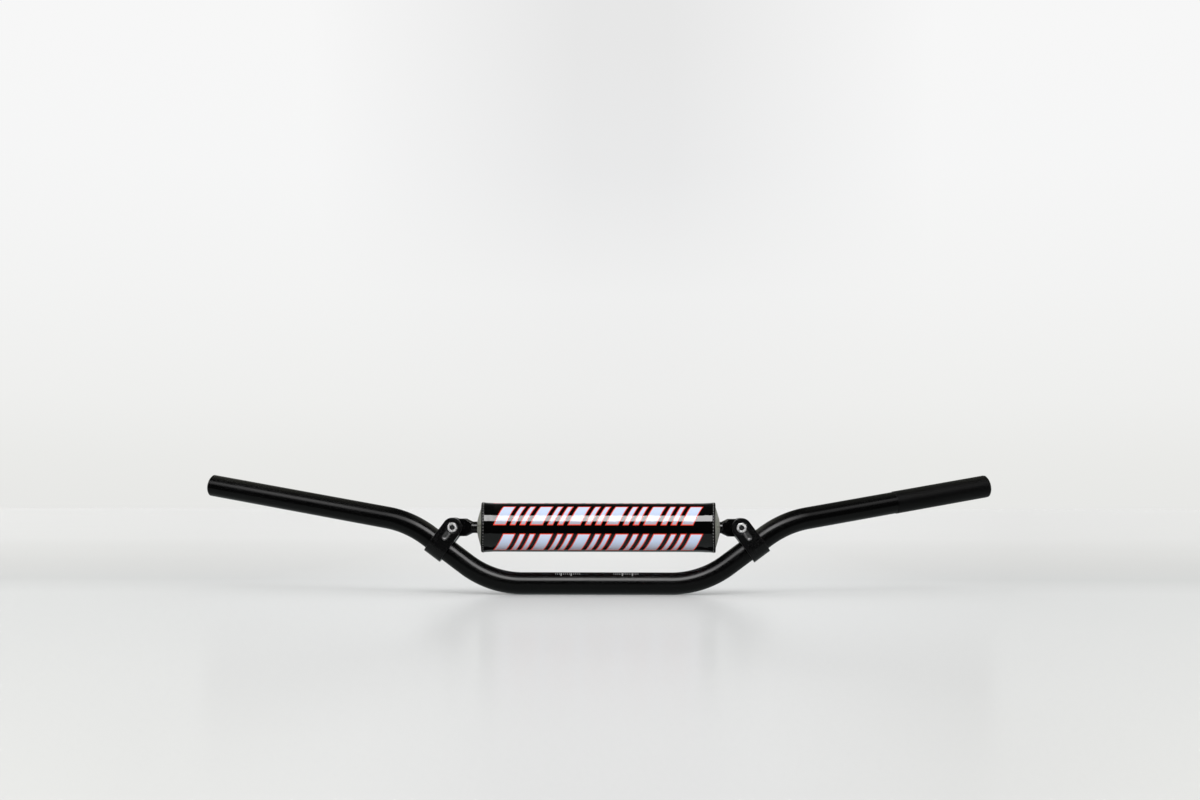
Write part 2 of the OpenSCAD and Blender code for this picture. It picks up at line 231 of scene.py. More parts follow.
def threads(name, rows, radius, length):
    """Separate stitches: rows of (centres, run directions, outward directions), each (k, 3)."""
    rings, around = 11, 8
    ring, angle = grid(np.linspace(-1, 1, rings), np.linspace(0, 2 * pi, around, endpoint=False))
    thick = radius * np.sqrt(np.clip(1 - np.abs(ring) ** 5, 0.02, 1))
    thick = thick * (1 + 0.06 * np.cos(2 * angle + ring * 6.0))
    along = ring * length / 2
    side = thick * np.sin(angle)
    out = thick * np.cos(angle) - 0.88 * radius * ring ** 2     # the ends sink in
    quads = []
    for r in range(rings - 1):
        for k in range(around):
            here, there, k_next = r * around, (r + 1) * around, (k + 1) % around
            quads.append((there + k, there + k_next, here + k_next, here + k))
    quads.append(tuple(range(around)))
    quads.append(tuple((rings - 1) * around + k for k in range(around))[::-1])
    vertices, faces, base = [], [], 0
    for centres, runs, outs in rows:
        for centre, run, up in zip(centres, runs, outs):
            run = run / np.linalg.norm(run)
            up = up - run * (up @ run)
            up = up / np.linalg.norm(up)
            across = np.cross(run, up)
            points = (centre + along[..., None] * run + side[..., None] * across
                      + out[..., None] * up)
            vertices.append(points.reshape(-1, 3))
            faces += [tuple(base + k for k in quad) for quad in quads]
            base += rings * around
    stitches = add_mesh(name, np.concatenate(vertices), faces, sharp=70)
    stitches.data.flip_normals()                  # the faces above are wound inwards
    return stitches


def fit(ob, body, replaced=None):
    """Parents a piece to the empty of the body it moves with, and hides the CAD piece it replaces."""
    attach(ob, body)
    if replaced:
        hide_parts(replaced)
    return ob


# ------------------------------------------------------------------ cloth
def drape(points, shrink, farthest, stiffness, bending):
    """Runs cloth with its borders held and returns how far each point moves."""
    scale, last_frame = 20.0, 20                  # the cloth is run at 20 times its size
    rows, columns = points.shape[:2]
    index = np.arange(rows * columns).reshape(rows, columns)
    quads = np.stack([index[:-1, :-1], index[:-1, 1:], index[1:, 1:], index[1:, :-1]], -1)
    start = (points.reshape(-1, 3) - points.reshape(-1, 3).mean(0)) * scale
    mesh = bpy.data.meshes.new("drape")
    mesh.from_pydata(start.tolist(), [], quads.reshape(-1, 4).tolist())
    ob = bpy.data.objects.new("drape", mesh)
    scene.collection.objects.link(ob)
    held = np.ones((rows, columns), bool)
    held[1:-1, 1:-1] = False
    group = ob.vertex_groups.new(name="held")
    group.add(np.flatnonzero(held.ravel()).tolist(), 1.0, "REPLACE")
    cloth = ob.modifiers.new("cloth", "CLOTH")
    settings = cloth.settings
    settings.quality = 6
    settings.mass = 0.3
    settings.tension_stiffness = settings.compression_stiffness = stiffness
    settings.shear_stiffness = stiffness / 3
    settings.bending_stiffness = bending
    settings.vertex_group_mass = "held"
    settings.use_pressure = True
    settings.uniform_pressure_force = 4.0
    settings.shrink_min = shrink
    settings.effector_weights.gravity = 0
    cloth.collision_settings.use_collision = False
    cloth.collision_settings.use_self_collision = False
    cloth.point_cache.frame_start, cloth.point_cache.frame_end = 1, last_frame
    for f in range(1, last_frame + 1):
        scene.frame_set(f)
    result = ob.evaluated_get(bpy.context.evaluated_depsgraph_get()).to_mesh()
    end = np.zeros(len(result.vertices) * 3, np.float32)
    result.vertices.foreach_get("co", end)
    move = (end.reshape(-1, 3) - start) / scale
    move[~np.isfinite(move).all(1)] = 0
    size = np.linalg.norm(move, axis=1, keepdims=True)
    move = move / np.maximum(size, 1e-12) * farthest * np.tanh(size / farthest)
    scene.frame_set(1)
    bpy.data.objects.remove(ob)
    bpy.data.meshes.remove(mesh)
    return move.reshape(points.shape)


def resample(field, rows_old, columns_old, rows_new, columns_new):
    """Moves a field to a finer grid, on a smooth curve through the old lines."""
    def along(values, old, new):
        k = np.clip(np.searchsorted(old, new) - 1, 0, len(old) - 2)
        t = unit((new - old[k]) / (old[k + 1] - old[k]))
        t = t.reshape((-1,) + (1,) * (values.ndim - 1))
        before, start = values[np.maximum(k - 1, 0)], values[k]
        end, after = values[k + 1], values[np.minimum(k + 2, len(old) - 1)]
        return 0.5 * (2 * start + (end - before) * t
                      + (2 * before - 5 * start + 4 * end - after) * t ** 2
                      + (3 * start - before - 3 * end + after) * t ** 3)
    field = along(field, rows_old, rows_new)
    return np.swapaxes(along(np.swapaxes(field, 0, 1), columns_old, columns_new), 0, 1)


# ------------------------------------------------------------------ the cover
def cover_radius(x):
    """The cover flares out to the rims over its last stretch."""
    flare = 11 * mm
    return COVER_R + 0.6 * mm * unit((np.abs(x) - (COVER_END - flare)) / flare) ** 1.7


def cover_puff(angles, places):
    """How the sheet lies when pulled round the foam and sewn at its rims: a coarse cloth run."""
    limit = 0.5 * mm
    coarse_angles = np.linspace(FIRST_ANGLE, LAST_ANGLE, 97)
    coarse_places = np.linspace(-COVER_END, COVER_END, 75)
    angle, x = grid(coarse_angles, coarse_places)
    start = on_pad(cover_radius(x) - 0.25 * mm, angle, x)
    move = drape(start, shrink=-0.006, farthest=1.2 * mm, stiffness=18, bending=1.2)
    puff = (move * outward(angle)).sum(-1)
    puff = np.clip(puff - np.median(puff[8:-8, 8:-8]), -limit, limit)
    puff[:, :2] = puff[:, -2:] = 0
    puff[:2] = puff[-2:] = 0
    return resample(puff, coarse_angles, coarse_places, angles, places)


def cover_sheet():
    angles = around_pad([0, 0.00035, 0.0009, 0.0018, 0.003], np.linspace(0.0055, 0.9945, 352),
                        [0.997, 0.9982, 0.9991, 0.99965, 1])
    half = np.concatenate([np.linspace(0, 100, 41)[:-1] * mm,
                           np.linspace(100 * mm, COVER_END - 0.8 * mm, 21),
                           COVER_END - np.array([0.55, 0.38, 0.24, 0.12, 0.04, 0.0]) * mm])
    places = np.concatenate([-half[::-1], half[1:]])
    puff = cover_puff(angles, places)
    angle, x = grid(angles, places)
    to_end = COVER_END - np.abs(x)
    radius = cover_radius(x) + 0.35 * puff
    # small gathers at each stitch
    gather = np.exp(-to_end / (2.6 * mm))
    stitch_phase = (angle - SLIT) * STITCHES_ROUND
    radius = radius - 0.11 * mm * gather * (0.5 + 0.5 * np.cos(stitch_phase))
    unevenness = waves(x, angle * COVER_R, seed=11, count=9, shortest=0.03, longest=0.09)
    radius = radius + 0.05 * mm * unevenness * unit(to_end / (6 * mm))
    # long shallow pulls that run in from each rim
    pulls = waves(angle * COVER_R, 0, seed=5, count=9, shortest=0.009, longest=0.03)
    radius = radius + 0.09 * mm * pulls * np.exp(-to_end / (9 * mm))
    rounding = np.maximum(edge_round(from_slit(angle, COVER_R), COVER_THICK),
                          edge_round(to_end, COVER_THICK))
    outer = radius - rounding
    inner = np.minimum(COVER_R - COVER_THICK + 0.02 * mm + rounding, outer - 0.03 * mm)
    uv = np.stack([x / 0.24 + 0.5, angle / (2 * pi)], -1)
    return skin("pad_cover_sheet", tuck(on_pad(outer, angle, x)),
                tuck(on_pad(inner, angle, x)), uv=uv)


cover = fit(cover_sheet(), "pad_shell", "pad_cover")


# ------------------------------------------------------------------ the pad's ends
PANEL_R = FOAM_R - 0.5 * mm
PANEL_HOLE = CROSS_R + 0.16 * mm
PANEL_THICK = 1.0 * mm


def rim_band(side, sign):
    """The folded edge of the cover, a little fuller between the stitches."""
    angles = around_pad([0, 0.0004, 0.001, 0.002], np.linspace(0.0055, 0.9945, 352),
                        [0.998, 0.999, 0.9996, 1])
    angle, across = grid(angles, np.linspace(0, 1, 21))
    start = COVER_END + 0.05 * mm
    x = start + (RIM_END - start) * (0.5 - 0.5 * np.cos(across * pi))
    fullness = np.sin(across * pi) ** 0.45
    radius = (RIM_R - 0.42 * mm * (1 - fullness)
              - 0.75 * mm * unit((across - 0.72) / 0.28) ** 2)
    stitch_phase = (angle - SLIT) * STITCHES_ROUND
    radius = radius - ridge(x - SEAM_X, 0.5 * mm) * (0.14 + 0.10 * np.cos(stitch_phase)) * mm
    radius = radius + 0.05 * mm * waves(angle * RIM_R, x, seed=21 + sign, count=8,
                                        shortest=0.006, longest=0.02)
    rounding = edge_round(from_slit(angle, RIM_R), 1.0 * mm)
    outer = radius - rounding
    inner = np.minimum(FOAM_R + 0.10 * mm + rounding * 0.5, outer - 0.05 * mm)
    return skin("pad_rim_band_" + side, tuck(on_pad(outer, angle, sign * x)),
                tuck(on_pad(inner, angle, sign * x)),
                uv=np.stack([x / 0.01, angle * RIM_R / 0.01], -1))


def seam_stitches(side, sign):
    angle = SLIT + (np.arange(STITCHES_ROUND) + 0.5) * 2 * pi / STITCHES_ROUND
    centres = tuck(on_pad(RIM_R + 0.10 * mm, angle, sign * SEAM_X))
    runs = np.stack([0 * angle, -np.sin(angle), np.cos(angle)], -1)
    runs = runs + np.array([0.10 * sign, 0, 0])   # each stitch slants a little
    return threads("pad_seam_stitches_" + side, [(centres, runs, outward(angle))],
                   radius=0.27 * mm, length=1.45 * mm)


def panel_cone(radius):
    """Distance from the pad's middle of an end panel before it bulges."""
    edge, hub = FOAM_R - 0.4 * mm, 9 * mm
    rise = np.clip((edge - radius) / (edge - hub), 0, 1.2)
    x = (RIM_END - 0.55 * mm) + (PANEL_END - RIM_END - 0.65 * mm) * rise
    x = x + 0.12 * mm * np.sin(unit(rise) * pi)
    return np.minimum(x, PANEL_END - 0.02 * mm)


def panel_bulge(sign, angles, fractions):
    """Cloth held at the rim and at the crossbar and pushed out by the foam."""
    coarse_angles, coarse_fractions = np.linspace(FIRST_ANGLE, LAST_ANGLE, 129), np.linspace(0, 1, 17)
    angle, fraction = grid(coarse_angles, coarse_fractions)
    radius = PANEL_HOLE + (PANEL_R - PANEL_HOLE) * fraction
    start = on_pad(radius, angle, sign * (panel_cone(radius) - 0.5 * mm))
    # the columns run the other way on the right, so that pressure pushes outwards there too
    start = start[:, ::sign]
    move = drape(start, shrink=-0.075, farthest=1.15 * mm, stiffness=9, bending=0.12)[:, ::sign]
    bulge = resample(move[..., 0] * sign, coarse_angles, coarse_fractions, angles, fractions)
    return np.clip(bulge, -0.3 * mm, 1.2 * mm)


def end_panel(side, sign):
    fractions = np.concatenate([[0.0, 0.012, 0.035, 0.07, 0.12], np.linspace(0.16, 1, 34)])
    angles = around_pad([0, 0.0012, 0.003, 0.006], np.linspace(0.012, 0.988, 232),
                        [0.994, 0.997, 0.9988, 1])
    bulge = panel_bulge(sign, angles, fractions)
    angle, fraction = grid(angles, fractions)
    radius = PANEL_HOLE + (PANEL_R - PANEL_HOLE) * fraction
    # gathers that run from the crossbar outwards and fade
    hem = unit(fraction / 0.10) * unit((1 - fraction) / 0.08)
    gathers = waves(angle * 0.02, 0, seed=31 + sign, count=10, shortest=0.004, longest=0.013)
    gathers = 0.16 * mm * gathers * ridge(fraction - 0.12, 0.38) * hem
    # a fold slightly above the front, and a shallower one below it
    above_front, below_front = (7, 38) if sign > 0 else (11, 52)      # degrees
    fold_at = pi - radians(above_front) + 0.10 * np.sin(fraction * 3.2)
    across = (angle - fold_at) * radius
    fold = -0.85 * ridge(across, 0.5 * mm) + 0.34 * ridge(across - 1.25 * mm, 0.8 * mm)
    fold = fold * mm * unit(fraction / 0.12) * unit((1.02 - fraction) / 0.3)
    across = (angle - (pi + radians(below_front))) * radius
    low_fold = -0.30 * mm * ridge(across, 0.9 * mm) * ridge(fraction - 0.45, 0.3)
    dome = bulge.mean(0, keepdims=True)
    top = (panel_cone(radius) - 0.35 * mm + 0.25 * dome + 0.85 * (bulge - dome)
           + gathers + fold + low_fold)
    slit_side = from_slit(angle, np.maximum(radius, 8 * mm))
    rounding = np.maximum(edge_round(slit_side, PANEL_THICK),
                          edge_round(radius - PANEL_HOLE, PANEL_THICK))
    outer = on_pad(radius, angle, sign * (top - rounding))
    inner = on_pad(radius, angle, sign * (top - PANEL_THICK + rounding))
    # skirt: the cloth turns in under the rim
    skirt_angle, depth = grid(angles, np.array([0.25, 0.6, 1.1, 1.6]) * mm)
    skirt_r = PANEL_R + np.minimum(depth / (0.6 * mm), 1) * 0.42 * mm
    skirt_outer = on_pad(skirt_r, skirt_angle, sign * (top[:, -1:] - depth))
    skirt_inner = on_pad(FOAM_R - 1.25 * mm, skirt_angle,
                         sign * (top[:, -1:] - PANEL_THICK * 0.7 - depth * 0.6))
    outer = np.concatenate([outer, skirt_outer], 1)
    inner = np.concatenate([inner, skirt_inner], 1)
    return skin("pad_end_cloth_" + side, tuck(outer), tuck(inner), uv=outer[..., 1:] / 0.05)


def pad_end(side, sign):
    rim = fit(rim_band(side, sign), "pad_shell", "pad_rim_" + side)
    seam = fit(seam_stitches(side, sign), "pad_shell", "pad_seam_" + side)
    panel = fit(end_panel(side, sign), "pad_shell", "pad_panel_" + side)
    return rim, seam, panel


rim_left, seam_left, panel_left = pad_end("left", 1)
rim_right, seam_right, panel_right = pad_end("right", -1)


# ------------------------------------------------------------------ foam core
def foam_roll():
    tip = foam_high.x - PAD_X - 2.2 * mm
    hub_r, cone_r, body_r = 6.6 * mm, FOAM_R - 1.6 * mm, FOAM_R - 0.12 * mm
    cone_x = RIM_END - 3.7 * mm
    # outline of the right half, from the crossbar to the pad's middle: radius, place along it
    outline = [(CROSS_R + 0.14 * mm, -tip), (hub_r, -tip)]
    outline += [(hub_r + (cone_r - hub_r) * t, -(tip + (cone_x - tip) * t))
                for t in np.linspace(0.1, 1, 10)]
    outline += [(cone_r, -(COVER_END - 1.5 * mm)), (FOAM_R - 0.5 * mm, -(COVER_END - 1.9 * mm)),
                (body_r, -(COVER_END - 2.6 * mm))]
    outline += [(body_r, x) for x in np.linspace(-(COVER_END - 4.2 * mm), 0, 34)]
    outline = np.array(outline)
    outline = np.concatenate([outline, outline[:-1][::-1] * np.array([1, -1])])
    angles = around_pad([0, 0.001, 0.003], np.linspace(0.008, 0.992, 170), [0.997, 0.999, 1])
    angle, radius = grid(angles, outline[:, 0])
    x = grid(angles, outline[:, 1])[1]
    uneven = 0.10 * mm * waves(x, angle * FOAM_R, seed=41, count=10,
                               shortest=0.006, longest=0.02) - 0.10 * mm
    off_bar = unit((radius - CROSS_R) / (4 * mm))
    rounding = 0.25 * mm * np.exp(-from_slit(angle, radius) / (0.5 * mm))
    outer = on_pad(radius + uneven * off_bar - rounding, angle, x)
    inner = on_pad(CROSS_R + 0.10 * mm, angle, np.linspace(-tip, tip, len(outline)))
    return skin("pad_foam_roll", outer, inner, sharp=40,
                uv=np.stack([x / 0.05, angle * FOAM_R / 0.05], -1))


foam = fit(foam_roll(), "pad_core", "pad_foam")

# ------------------------------------------------------------------ flap and its thread
STRIP_THICK = 0.78 * mm
STRIP_GAP = 0.05 * mm
LOOP_R = COVER_R + STRIP_GAP                      # loop strip, hook strip and flap lie in turn
HOOK_R = LOOP_R + STRIP_THICK + STRIP_GAP
FLAP_R = HOOK_R + STRIP_THICK + STRIP_GAP
FLAP_THICK = 1.1 * mm
FLAP_CORNER = 9 * mm
HEM = FLAP_ROOT + radians(8.5)                    # the sewn edge above the hinge line
FLAP_LENGTH = (HEM - FLAP_END) * FLAP_R
STRIP_START = FLAP_END + radians(4)
STRIP_STOP = STRIP_START + radians(38)
STRIP_ROWS = (STRIP_START + radians(4), STRIP_STOP - radians(4))     # stitched rows, as angles
HEM_ROW = 2.4 * mm                                # other rows, as distances in from the edges
SIDE_ROW = 2.6 * mm


def flap_radius(angle):
    """The flap's inside leaves the cover at its root and rises over the strips."""
    root_r = COVER_R + 0.22 * mm
    reached = unit((FLAP_ROOT - angle) / (FLAP_ROOT - FLAP_END))
    return root_r + (FLAP_R - root_r) * smooth(np.minimum(1, reached / 0.42))


def flap_sheet():
    edge = np.array([0.0, 0.05, 0.14, 0.28, 0.46]) * mm      # close lines at both ends
    lines = np.concatenate([edge, np.linspace(0.9 * mm, FLAP_LENGTH - 0.9 * mm, 92),
                            FLAP_LENGTH - edge[::-1]])
    from_hem, across = grid(lines, np.linspace(-1, 1, 141))
    over = unit((from_hem - (FLAP_LENGTH - FLAP_CORNER)) / FLAP_CORNER)
    half = FLAP_HALF - FLAP_CORNER * (1 - np.sqrt(np.maximum(0, 1 - over ** 2)))
    half = half - 3 * mm * unit(1 - from_hem / (3 * mm)) ** 2
    x = half * across
    angle = HEM - from_hem / FLAP_R
    to_side = half - np.abs(x)
    to_end = np.minimum(from_hem, FLAP_LENGTH - from_hem)
    rounding = np.maximum(edge_round(to_end, FLAP_THICK), edge_round(to_side, FLAP_THICK))
    lift = (0.14 * mm * waves(x, from_hem, seed=51, count=9, shortest=0.02, longest=0.07)
            + 0.10 * mm * waves(x, from_hem, seed=52, count=9, shortest=0.008, longest=0.02))
    lift = np.maximum(lift, -0.1 * mm) * unit(np.minimum(from_hem, to_side) / (3 * mm))
    # the sheet dips along its stitched rows
    dips = sum(ridge((angle - at) * FLAP_R, 0.7 * mm) for at in STRIP_ROWS)
    dips = dips + ridge(to_side - SIDE_ROW, 0.6 * mm) + ridge(from_hem - HEM_ROW, 0.6 * mm)
    radius = flap_radius(angle)
    outer = radius + FLAP_THICK + lift - 0.16 * mm * dips - rounding
    inner = np.minimum(radius + rounding, outer - 0.03 * mm)
    return skin("pad_flap_sheet", on_pad(outer, angle, x), on_pad(inner, angle, x),
                uv=np.stack([x / 0.24 + 0.5, from_hem / 0.24], -1))


def flap_row(from_hem, x, lengthwise):
    """Stitches on the flap, running along the pad or away from the sewn edge."""
    from_hem, x = np.broadcast_arrays(np.asarray(from_hem, float), np.asarray(x, float))
    angle = HEM - from_hem / FLAP_R
    centres = on_pad(flap_radius(angle) + FLAP_THICK + 0.12 * mm, angle, x)
    runs = np.stack([0 * angle, np.sin(angle), -np.cos(angle)], -1)
    if lengthwise:
        runs = np.broadcast_to([1.0, 0, 0], centres.shape)
    return centres, runs, outward(angle)


def flap_stitches():
    strip_x = np.arange(-FLAP_HALF + 5 * mm, FLAP_HALF - 4.9 * mm, STITCH)
    side_places = np.arange(5 * mm, FLAP_LENGTH - FLAP_CORNER, STITCH)
    hem_x = np.arange(-FLAP_HALF + 7 * mm, FLAP_HALF - 6 * mm, STITCH)
    rows = [flap_row((HEM - at) * FLAP_R, strip_x, True) for at in STRIP_ROWS]
    rows += [flap_row(side_places, sign * (FLAP_HALF - SIDE_ROW), False) for sign in (-1, 1)]
    rows.append(flap_row(HEM_ROW, hem_x, True))
    return threads("pad_flap_stitches", rows, radius=0.26 * mm, length=2.0 * mm)


# ------------------------------------------------------------------ hook and loop strips
def strip(name, low_r, high_r, start, stop, nap_seed=None):
    """A strip along the pad; with a seed its outside is napped, without one its inside is cut back."""
    half = FLAP_HALF - 4 * mm
    angle, x = grid(np.linspace(start, stop, 56), np.linspace(-half, half, 300))
    to_edge = np.minimum(np.minimum(angle - start, stop - angle) * low_r, half - np.abs(x))
    fade = unit(to_edge / (0.8 * mm))
    outer, inner = high_r, low_r
    if nap_seed is None:
        inner = low_r + 0.55 * mm * (1 - fade) + 0.40 * mm
    else:
        rough = waves(x, angle * low_r, seed=nap_seed, count=16, shortest=0.0022, longest=0.006)
        outer = high_r - 0.30 * mm * (1 - fade) - 0.26 * mm + (0.12 + 0.12 * rough) * mm * fade
    return skin(name, on_pad(outer, angle, x), on_pad(inner, angle, x),
                uv=np.stack([x / 0.02, angle * low_r / 0.02], -1))


def hook_pegs():
    """Short bent pegs on the inside of the flap, in offset rows."""
    row_pitch, peg_pitch, sides = 1.35 * mm, 1.7 * mm, 5
    # rings of a peg in mm: height above the strip's inside, radius, shift along the pad
    peg_rings = ((0.40, 0.17, 0.0), (0.20, 0.14, 0.05), (0.05, 0.20, 0.20))
    rows = np.arange(STRIP_START + radians(2), STRIP_STOP - radians(2), row_pitch / HOOK_R)
    places = np.arange(-FLAP_HALF + 6 * mm, FLAP_HALF - 6 * mm, peg_pitch)
    corners = np.linspace(0, 2 * pi, sides, endpoint=False)
    points, faces = [], []
    for i, angle in enumerate(rows):
        for x in places + (peg_pitch / 2 if i % 2 else 0):
            base = len(points)
            for height, radius, shift in peg_rings:
                for corner in corners:
                    points.append((HOOK_R + height * mm,
                                   angle + radius * mm * math.sin(corner) / HOOK_R,
                                   x + (shift + radius * math.cos(corner)) * mm))
            for level in (base, base + sides):
                for k in range(sides):
                    k_next = (k + 1) % sides
                    faces.append((level + k, level + k_next,
                                  level + sides + k_next, level + sides + k))
            faces.append(tuple(base + 2 * sides + k for k in range(sides)))
            faces.append(tuple(base + k for k in range(sides))[::-1])
    points = np.array(points)
    return add_mesh("pad_hook_pegs", on_pad(points[:, 0], points[:, 1], points[:, 2]),
                    faces, sharp=60)


flap = flap_sheet()
flap_thread = flap_stitches()
loop = strip("pad_loop_band", LOOP_R - 0.02 * mm, LOOP_R + STRIP_THICK,
             STRIP_START - radians(1), STRIP_STOP + radians(1), nap_seed=61)
hook = strip("pad_hook_band", HOOK_R, HOOK_R + STRIP_THICK, STRIP_START, STRIP_STOP)
pegs = hook_pegs()
fit(loop, "pad_shell", "pad_loop_strip")
fit(hook, "pad_closure", "pad_hook_strip")
fit(pegs, "pad_closure")
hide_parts("pad_flap")
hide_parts("pad_flap_stitch")
# points at the flap's root and 30 degrees further on; nothing below uses them
bend_from, bend_to = (tuple(on_pad(COVER_R + 0.8 * mm, FLAP_ROOT - turn, 0.0))
                      for turn in (0.0, radians(30)))
for ob in (flap, flap_thread):
    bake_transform(ob)

# ------------------------------------------------------------------ knurling, clutch-side grip
seat = mount("clutch_grip_seat")
KNURL_R = seat["dims"]["r_mm"] * mm
KNURL_LENGTH = seat["dims"]["length_mm"] * mm


def knurling():
    count, tilt = 44, radians(30)                 # grooves round the bar, and their slant
    axis = np.array(seat["axis"], float)
    axis = axis / np.linalg.norm(axis)
    middle = np.array(seat["pos_m"], float)
    side_dir = np.cross(axis, [0, 0, 1.0])
    side_dir = side_dir / np.linalg.norm(side_dir)
    up_dir = np.cross(side_dir, axis)
    length = KNURL_LENGTH - 0.8 * mm
    pitch = 2 * pi * KNURL_R * math.cos(tilt) / count
    angle, along = grid(np.linspace(0, 2 * pi, count * 5, endpoint=False),
                        np.linspace(-length / 2, length / 2, 281))

    def groove(sign):
        phase = (angle * KNURL_R * math.cos(tilt) + sign * along * math.sin(tilt)) / pitch
        return unit(np.abs(2 * (phase - np.floor(phase)) - 1) * 1.7)

    def round_axis(radius):
        return (middle + along[..., None] * axis + (radius * np.cos(angle))[..., None] * side_dir
                + (radius * np.sin(angle))[..., None] * up_dir)

    ends = unit((length / 2 - np.abs(along)) / (0.7 * mm))
    radius = KNURL_R + (0.012 + 0.15 * groove(1) * groove(-1) * ends) * mm
    return skin("bar_knurling", round_axis(radius), round_axis(KNURL_R - 0.3 * mm), wrap=True,
                uv=np.stack([along / 0.02, angle * KNURL_R / 0.02], -1), sharp=None)


knurl = fit(knurling(), "bar")

# ------------------------------------------------------------------ bar tube
STRAIGHT = 148.6 * mm
LOWER_BEND_R, LOWER_BEND = 94 * mm, radians(36.6)
LEG = 47.4 * mm
UPPER_BEND_R, UPPER_BEND = 91 * mm, radians(29.8)
LEAN = radians(28 - 180)                          # turn about the leg before the upper bend
GRIP = 199.7 * mm
BORE_R = mount("clutch_end_bore")["dims"]["r_mm"] * mm
UNDER_KNURL_R = KNURL_R - 0.06 * mm


def turn_about_x(angle):
    return np.array([[1, 0, 0], [0, math.cos(angle), -math.sin(angle)],
                     [0, math.sin(angle), math.cos(angle)]])


def tilt_up(angle):
    return np.array([[math.cos(angle), 0, -math.sin(angle)], [0, 1, 0],
                     [math.sin(angle), 0, math.cos(angle)]])


def half_path():
    """Stations along the +X half: centre, matrix that places a ring, distance from the middle."""
    centre, turn, untwist, run, stations = np.zeros(3), np.eye(3), np.eye(3), 0.0, []

    def straight(length, steps, last=False):
        nonlocal centre, run
        for k in range(steps + (1 if last else 0)):
            reached = length * k / steps
            stations.append((centre + turn[:, 0] * reached, turn @ untwist, run + reached))
        centre, run = centre + turn[:, 0] * length, run + length

    def arc_point(radius, angle):
        offset = np.array([radius * math.sin(angle), 0, radius * (1 - math.cos(angle))])
        return centre + turn @ offset

    def bend(radius, angle, steps):
        nonlocal centre, turn, run
        for k in range(steps):
            reached = angle * k / steps
            stations.append((arc_point(radius, reached), turn @ tilt_up(reached) @ untwist,
                             run + radius * reached))
        centre = arc_point(radius, angle)
        turn, run = turn @ tilt_up(angle), run + radius * angle

    straight(STRAIGHT / 2, 12)
    bend(LOWER_BEND_R, LOWER_BEND, 60)
    straight(LEG, 6)
    turn, untwist = turn @ turn_about_x(LEAN), turn_about_x(-LEAN)
    bend(UPPER_BEND_R, UPPER_BEND, 50)
    # stations stand closer where the knurling starts and at the open end
    straight(GRIP - KNURL_LENGTH - 2.2 * mm, 8)
    straight(2.2 * mm, 8)
    straight(KNURL_LENGTH - 2.4 * mm, 8)
    straight(2.4 * mm, 12, last=True)
    return stations


def tube_radii(from_end, is_left):
    """Outer and inner radius: thinner under the knurling, chamfered at the open ends."""
    step, outer_chamfer, inner_chamfer = 0.4 * mm, 1.2 * mm, 0.5 * mm
    outer, inner = TUBE_R, BORE_R
    if is_left and from_end < KNURL_LENGTH:
        outer = UNDER_KNURL_R
    elif is_left and from_end < KNURL_LENGTH + step:
        outer = UNDER_KNURL_R + (TUBE_R - UNDER_KNURL_R) * (from_end - KNURL_LENGTH) / step
    if from_end < outer_chamfer:
        outer = min(outer, TUBE_R - outer_chamfer + from_end)
    if from_end < inner_chamfer:
        inner = BORE_R + inner_chamfer - from_end
    return outer, inner


def bar_tube():
    half = half_path()
    total = half[-1][2]
    stations = [(-1.0, *h) for h in half[::-1]] + [(1.0, *h) for h in half[1:]]
    angle = np.linspace(0, 2 * pi, 96, endpoint=False)
    circle = outward(angle).T
    outer_points, inner_points, uv = [], [], []
    for sign, centre, turn, run in stations:
        outer, inner = tube_radii(total - run, sign > 0)
        mirror = np.array([sign, 1, 1])
        ring = (turn @ circle).T
        outer_points.append((centre + outer * ring) * mirror)
        inner_points.append((centre + inner * ring) * mirror)
        uv.append(np.stack([np.full(len(angle), run * sign), angle * TUBE_R], -1) / 0.05)
    return skin("bar_tube_surface", np.stack(outer_points, 1), np.stack(inner_points, 1),
                wrap=True, uv=np.stack(uv, 1), sharp=32)


bar = fit(bar_tube(), "bar", "bar_tube")


# ------------------------------------------------------------------ shader helpers
def operator(operation, swapped=False):
    if swapped:
        return lambda value, other: value.nodes.math(operation, other, value)
    return lambda value, other: value.nodes.math(operation, value, other)


class Value:
    """A node's output. Each operator used on it adds a Math node."""
    __add__ = operator("ADD")
    __radd__ = operator("ADD", swapped=True)
    __sub__ = operator("SUBTRACT")
    __rsub__ = operator("SUBTRACT", swapped=True)
    __mul__ = operator("MULTIPLY")
    __rmul__ = operator("MULTIPLY", swapped=True)
    __truediv__ = operator("DIVIDE")
    __gt__ = operator("GREATER_THAN")
    __lt__ = operator("LESS_THAN")

    def __init__(self, nodes, socket):
        self.nodes, self.socket = nodes, socket

    def __abs__(self):
        return self.math("ABSOLUTE")

    def math(self, operation, other=0.0):
        return self.nodes.math(operation, self, other)


def rgba(colour):
    """A colour with alpha, from three parts or from one grey level."""
    return (*colour, 1) if isinstance(colour, tuple) else (colour, colour, colour, 1)


